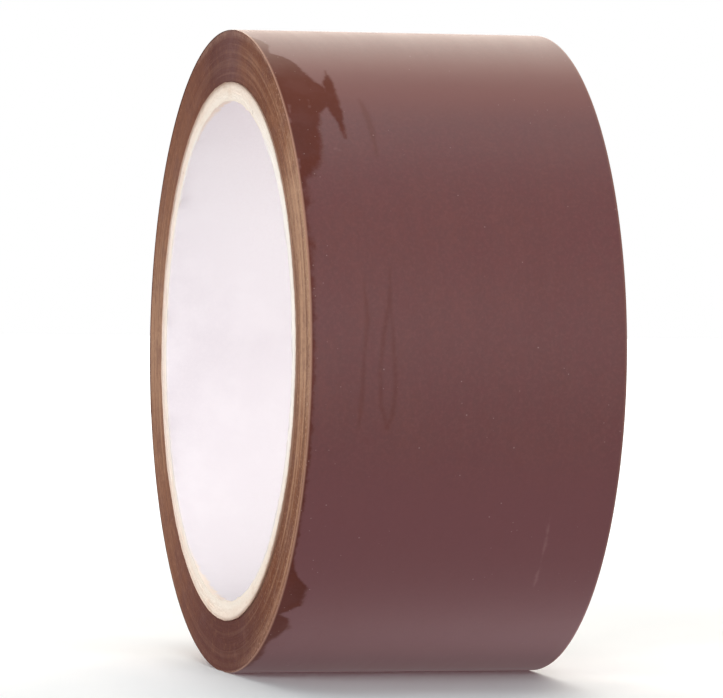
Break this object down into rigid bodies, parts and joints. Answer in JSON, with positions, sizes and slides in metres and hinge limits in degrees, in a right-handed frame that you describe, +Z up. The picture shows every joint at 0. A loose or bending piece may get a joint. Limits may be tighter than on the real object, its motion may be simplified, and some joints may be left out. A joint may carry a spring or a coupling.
{
  "type": "packing tape roll",
  "caption": "Roll of wide brown packing tape on a white-lined paperboard core, standing on its tread, with a free end that peels up.",
  "frame": {"origin": "centre of the core's bore, midway between the roll's side faces", "axes": "+Y along the roll's axis, from the front side face to the back one; +Z up, with the roll standing on its tread; +X across the tread, away from the free end"},
  "size_m": [0.0972, 0.048, 0.0972],
  "materials": {
    "liner": "matte",
    "board": "matte",
    "tape": "satin"
  },
  "bodies": {
    "roll": {"core_liner": "liner", "core_board_ply_1": "board", "core_board_ply_2": "board", "core_board_ply_3": "board", "core_board_ply_4": "board", "core_board_ply_5": "board", "tape_winding": "tape", "tape_last_lap": "tape"},
    "free_end": {"tape_free_end": "tape"}
  },
  "joints": [
    {"name": "free_end_peel", "type": "hinge", "parent": "roll", "child": "free_end", "pos_m": [-0.04583, 0, 0.0164], "axis": [0, 1, 0], "range_deg": [0, 120]}
  ]
}
